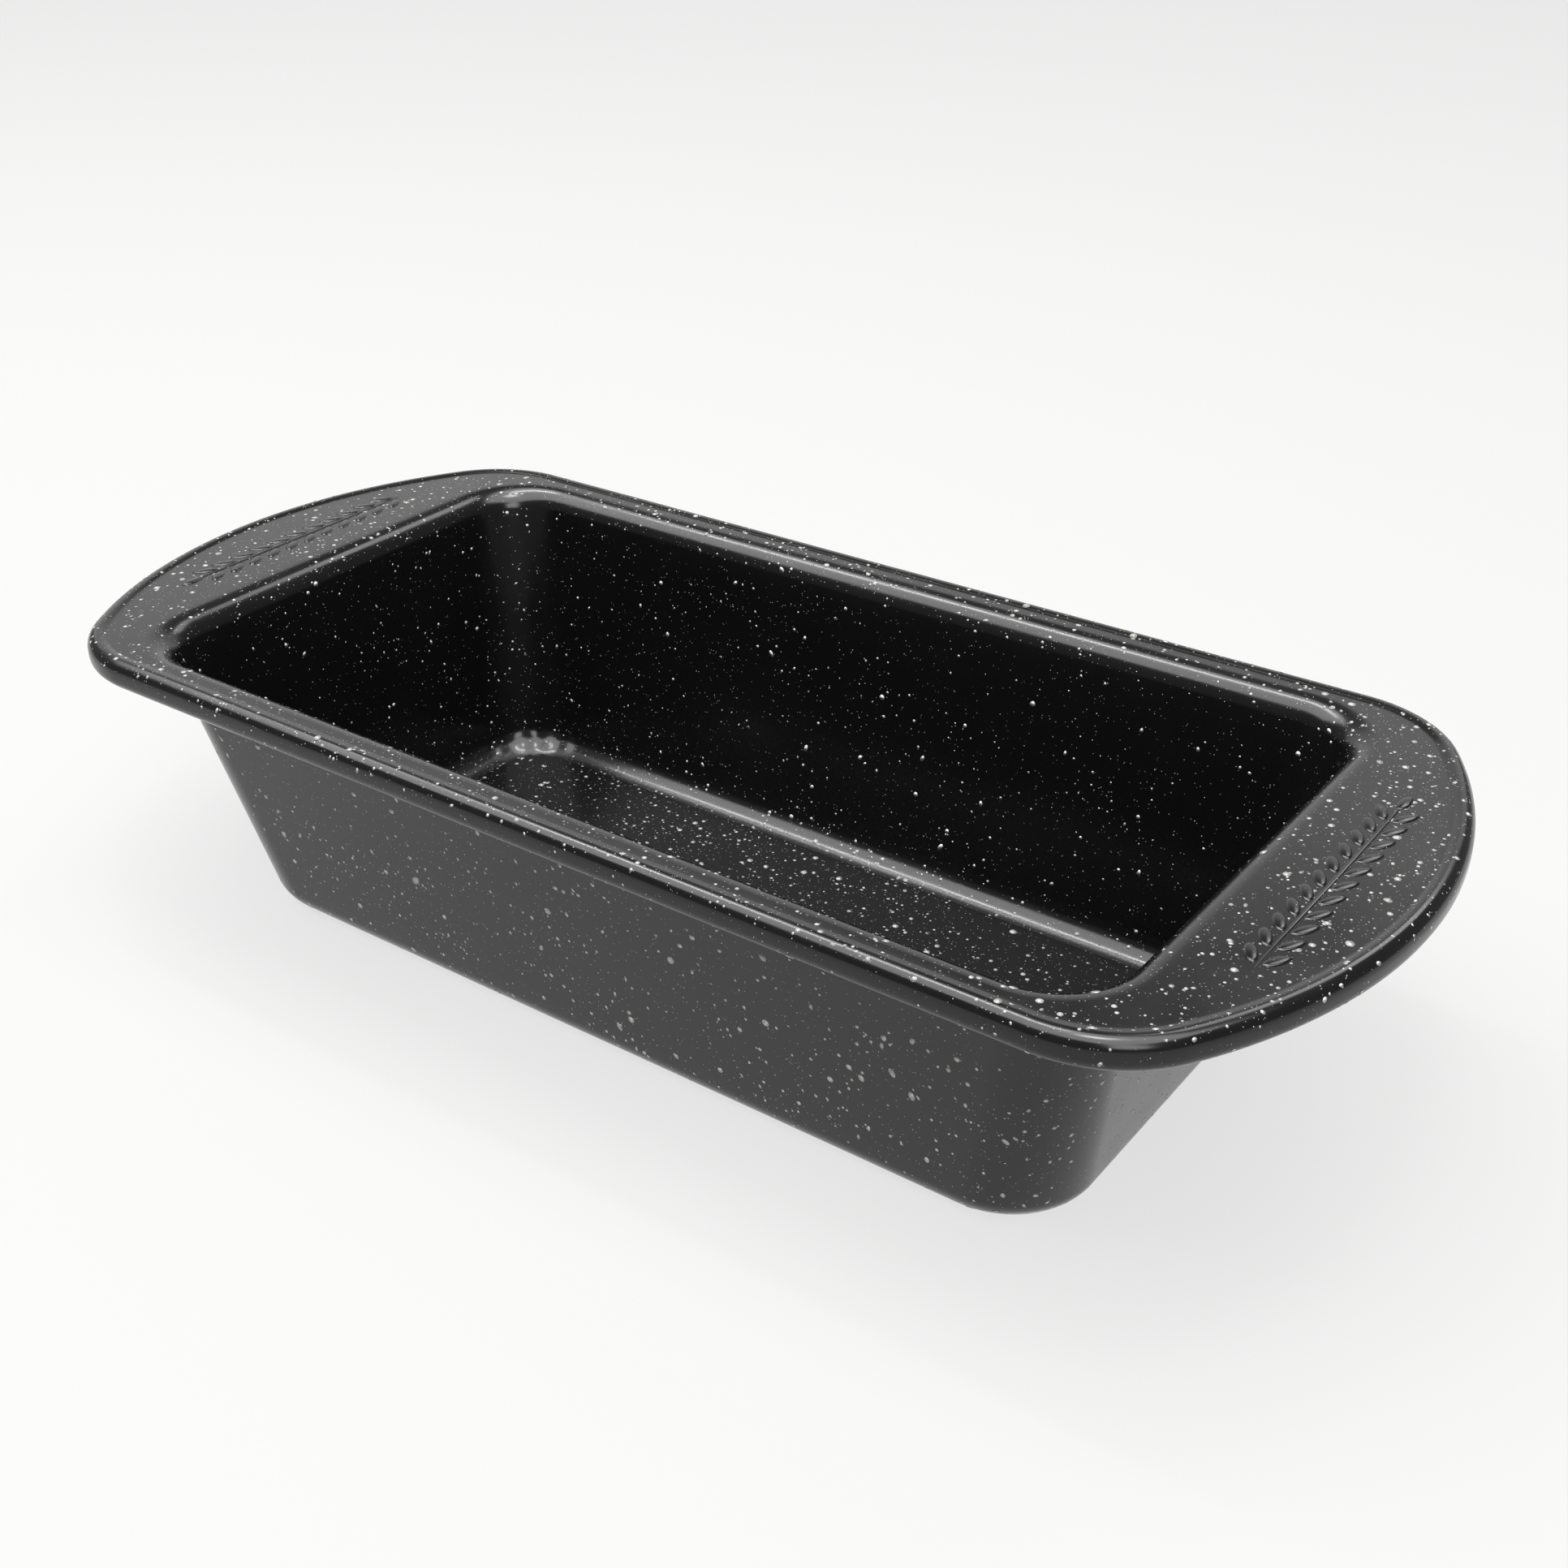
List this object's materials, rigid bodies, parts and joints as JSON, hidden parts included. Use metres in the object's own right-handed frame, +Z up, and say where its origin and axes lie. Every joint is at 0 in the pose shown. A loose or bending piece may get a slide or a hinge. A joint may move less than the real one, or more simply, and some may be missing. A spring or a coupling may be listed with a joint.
{
  "type": "loaf pan",
  "caption": "Pressed steel loaf pan with tapered walls, a raised floor panel, crescent grip wings, a rolled rim and a speckled dark coat.",
  "frame": {"origin": "centre of the pan's footprint, on the surface that it stands on", "axes": "+X along the pan towards one wing, +Y across it, +Z up out of the cavity"},
  "size_m": [0.3, 0.14, 0.066],
  "materials": {
    "sheet_steel": "cold-rolled sheet, covered by the coats",
    "inner_coat": "semi-gloss dark non-stick coat",
    "outer_coat": "semi-gloss dark non-stick coat",
    "speckle": "raised light grey spatter in both coats"
  },
  "bodies": {
    "root": {"steel_shell": "sheet_steel", "inner_coating": "inner_coat", "outer_coating": "outer_coat"}
  },
  "joints": []
}
